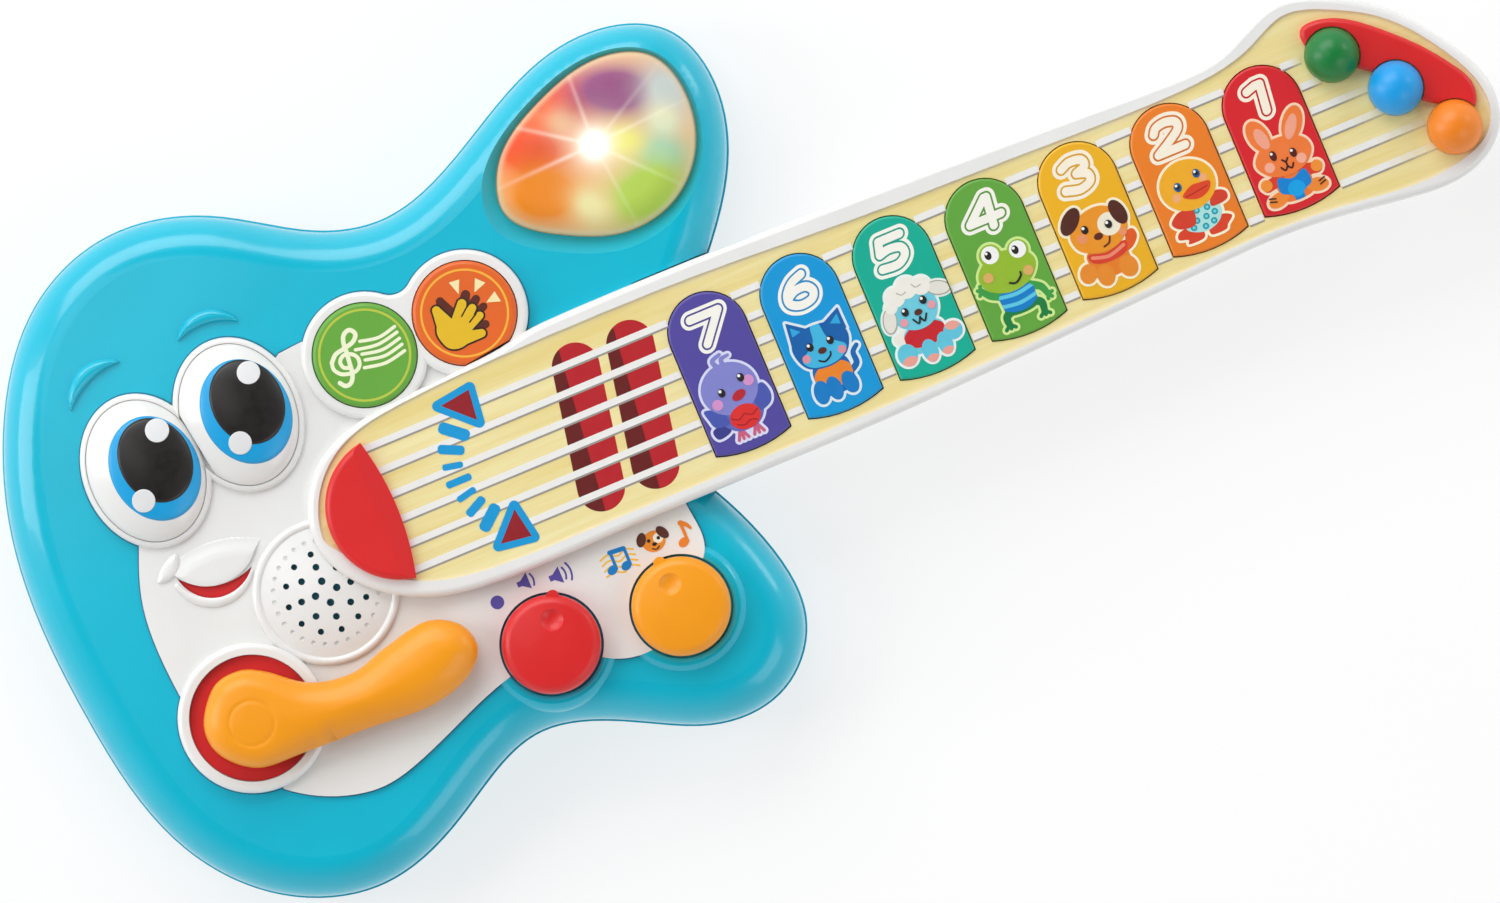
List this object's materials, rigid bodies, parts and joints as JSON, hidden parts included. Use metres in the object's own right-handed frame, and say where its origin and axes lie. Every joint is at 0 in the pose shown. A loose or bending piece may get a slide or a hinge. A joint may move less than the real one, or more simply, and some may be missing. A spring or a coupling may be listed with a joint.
{
  "type": "toy electric guitar",
  "caption": "Toddler's electric guitar with a smiling face, coloured piano keys along the neck, turning knobs, a whammy lever, round buttons, a light-up horn and turning tuner balls",
  "frame": {"origin": "under the middle of the guitar's overall box, on the plane of its flat back", "axes": "+X along the neck to the headstock, +Y across the body to the lamp horn, +Z out of the face"},
  "size_m": [0.4262, 0.1953, 0.0466],
  "materials": {
    "blue_shell": "moulded ABS, glossy cyan blue",
    "white_plastic": "moulded ABS, glossy white",
    "yellow_panel": "printed pale yellow panel",
    "red_plastic": "moulded ABS, glossy red",
    "amber_plastic": "moulded ABS, glossy amber",
    "green_plastic": "moulded ABS, glossy green",
    "orange_plastic": "moulded ABS, glossy orange",
    "ball_green": "moulded ABS, glossy green",
    "ball_blue": "moulded ABS, glossy blue",
    "ball_orange": "moulded ABS, glossy orange",
    "key_red": "moulded ABS, red",
    "key_orange": "moulded ABS, orange",
    "key_amber": "moulded ABS, amber yellow",
    "key_green": "moulded ABS, green",
    "key_teal": "moulded ABS, teal",
    "key_blue": "moulded ABS, sky blue",
    "key_violet": "moulded ABS, violet",
    "lamp_clear": "translucent milky dome, lit from inside in several colours",
    "reflector_white": "matt white reflector",
    "black_plastic": "matt black moulding",
    "steel": "zinc plated steel",
    "board_green": "green solder mask on board",
    "silicone": "grey silicone rubber",
    "cell_wrap": "steel cans in a plain dark wrap",
    "speaker_paper": "black coated cone",
    "led_lens": "clear epoxy",
    "cable_jacket": "soft PVC insulation",
    "film": "polyester film"
  },
  "bodies": {
    "guitar": {"body_back_shell": "blue_shell", "body_front_shell": "blue_shell", "battery_door": "blue_shell", "face_plate": "white_plastic", "eye_left": "white_plastic", "eye_right": "white_plastic", "neck_frame": "white_plastic", "neck_back_shell": "white_plastic", "fretboard": "yellow_panel", "bridge": "red_plastic", "headstock_crescent": "red_plastic", "volume_switch": "black_plastic", "mode_switch": "black_plastic", "lever_dish": "red_plastic", "lever_spring": "steel", "lever_switch": "black_plastic", "button_pad": "silicone", "button_board": "board_green", "lamp_dome": "lamp_clear", "lamp_reflector": "reflector_white", "lamp_board": "board_green", "leds": "led_lens", "main_board": "board_green", "sound_chips": "black_plastic", "key_board": "board_green", "key_pad": "silicone", "strum_film": "film", "speaker_basket": "steel", "speaker_cone": "speaker_paper", "speaker_magnet": "steel", "batteries": "cell_wrap", "battery_contacts": "steel", "battery_door_screw": "steel", "body_screws": "steel", "neck_screws": "steel", "board_screws": "steel", "neck_ribbon_cable": "cable_jacket", "wires": "cable_jacket"},
    "key_1": {"key_1": "key_red"},
    "key_2": {"key_2": "key_orange"},
    "key_3": {"key_3": "key_amber"},
    "key_4": {"key_4": "key_green"},
    "key_5": {"key_5": "key_teal"},
    "key_6": {"key_6": "key_blue"},
    "key_7": {"key_7": "key_violet"},
    "music_button": {"music_button": "green_plastic"},
    "clap_button": {"clap_button": "orange_plastic"},
    "volume_knob": {"volume_knob": "red_plastic"},
    "mode_knob": {"mode_knob": "amber_plastic"},
    "whammy_lever": {"whammy_lever": "amber_plastic", "lever_retainer": "black_plastic", "lever_screw": "steel"},
    "tuning_ball_green": {"tuning_ball_green": "ball_green", "tuner_clip_green": "black_plastic"},
    "tuning_ball_blue": {"tuning_ball_blue": "ball_blue", "tuner_clip_blue": "black_plastic"},
    "tuning_ball_orange": {"tuning_ball_orange": "ball_orange", "tuner_clip_orange": "black_plastic"}
  },
  "joints": [
    {"name": "key_1_press", "type": "slide", "parent": "guitar", "child": "key_1", "axis": [0, 0, -1], "range_m": [0, 0.0012], "stiffness_N_per_m": 400, "springref_m": -0.002},
    {"name": "key_2_press", "type": "slide", "parent": "guitar", "child": "key_2", "axis": [0, 0, -1], "range_m": [0, 0.0012], "stiffness_N_per_m": 400, "springref_m": -0.002},
    {"name": "key_3_press", "type": "slide", "parent": "guitar", "child": "key_3", "axis": [0, 0, -1], "range_m": [0, 0.0012], "stiffness_N_per_m": 400, "springref_m": -0.002},
    {"name": "key_4_press", "type": "slide", "parent": "guitar", "child": "key_4", "axis": [0, 0, -1], "range_m": [0, 0.0012], "stiffness_N_per_m": 400, "springref_m": -0.002},
    {"name": "key_5_press", "type": "slide", "parent": "guitar", "child": "key_5", "axis": [0, 0, -1], "range_m": [0, 0.0012], "stiffness_N_per_m": 400, "springref_m": -0.002},
    {"name": "key_6_press", "type": "slide", "parent": "guitar", "child": "key_6", "axis": [0, 0, -1], "range_m": [0, 0.0012], "stiffness_N_per_m": 400, "springref_m": -0.002},
    {"name": "key_7_press", "type": "slide", "parent": "guitar", "child": "key_7", "axis": [0, 0, -1], "range_m": [0, 0.0012], "stiffness_N_per_m": 400, "springref_m": -0.002},
    {"name": "music_button_press", "type": "slide", "parent": "guitar", "child": "music_button", "axis": [0, 0, -1], "range_m": [0, 0.0015], "stiffness_N_per_m": 400, "springref_m": -0.002},
    {"name": "clap_button_press", "type": "slide", "parent": "guitar", "child": "clap_button", "axis": [0, 0, -1], "range_m": [0, 0.0015], "stiffness_N_per_m": 400, "springref_m": -0.002},
    {"name": "volume_knob_turn", "type": "hinge", "parent": "guitar", "child": "volume_knob", "pos_m": [-0.08475, -0.05395, 0.036], "axis": [0, 0, 1], "range_deg": [0, 56]},
    {"name": "mode_knob_turn", "type": "hinge", "parent": "guitar", "child": "mode_knob", "pos_m": [-0.0478, -0.058, 0.036], "axis": [0, 0, 1], "range_deg": [-28, 28]},
    {"name": "whammy_lever_turn", "type": "hinge", "parent": "guitar", "child": "whammy_lever", "pos_m": [-0.1684, -0.0411, 0.036], "axis": [0, 0, 1], "range_deg": [-18, 0], "stiffness_Nm_per_rad": 0.2, "springref_deg": 8.59},
    {"name": "tuning_ball_green_turn", "type": "hinge", "parent": "guitar", "child": "tuning_ball_green", "pos_m": [0.1755, 0.0131, 0.039], "axis": [0, 0, 1], "continuous": true},
    {"name": "tuning_ball_blue_turn", "type": "hinge", "parent": "guitar", "child": "tuning_ball_blue", "pos_m": [0.1882, -0.002, 0.039], "axis": [0, 0, 1], "continuous": true},
    {"name": "tuning_ball_orange_turn", "type": "hinge", "parent": "guitar", "child": "tuning_ball_orange", "pos_m": [0.1991, -0.0181, 0.039], "axis": [0, 0, 1], "continuous": true}
  ]
}
